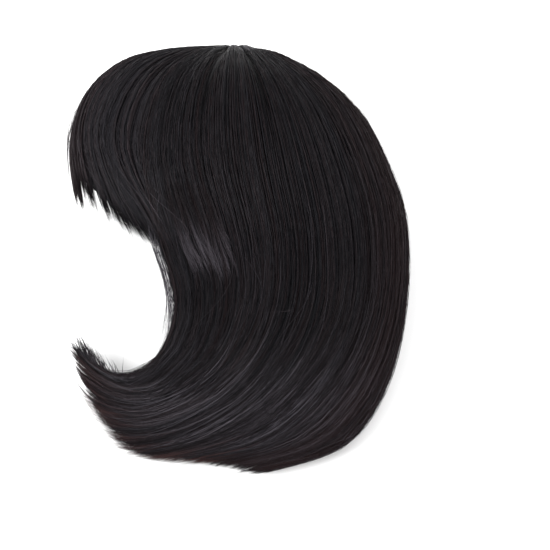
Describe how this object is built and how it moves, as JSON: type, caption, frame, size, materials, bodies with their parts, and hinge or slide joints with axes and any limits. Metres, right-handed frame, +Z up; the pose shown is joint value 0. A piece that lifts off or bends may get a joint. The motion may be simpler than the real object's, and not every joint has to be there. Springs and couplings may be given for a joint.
{
  "type": "bob wig",
  "caption": "Chin-length bob wig with a full fringe and tips that sweep forwards, lying on its side; locks of hair on a thin open net cap.",
  "frame": {"origin": "centre of the underside of the wig's bounding box, on the surface that it lies on", "axes": "+Y towards the crown, +X towards the back of the head, +Z up from the surface, through the wig's left side"},
  "size_m": [0.2195, 0.2819, 0.1066],
  "materials": {
    "hair_fibre": "brownish black synthetic hair fibre with a soft streaked sheen along the strands",
    "crown_mesh": "dark fine mesh, matt, with the roots of the hair tied through it",
    "cap_net": "black elastic net with stitched rows, matt"
  },
  "bodies": {
    "root": {"cap": "cap_net", "crown_patch": "crown_mesh", "fringe": "hair_fibre", "left_side_hair": "hair_fibre", "back_hair": "hair_fibre", "right_side_hair": "hair_fibre"}
  },
  "joints": []
}
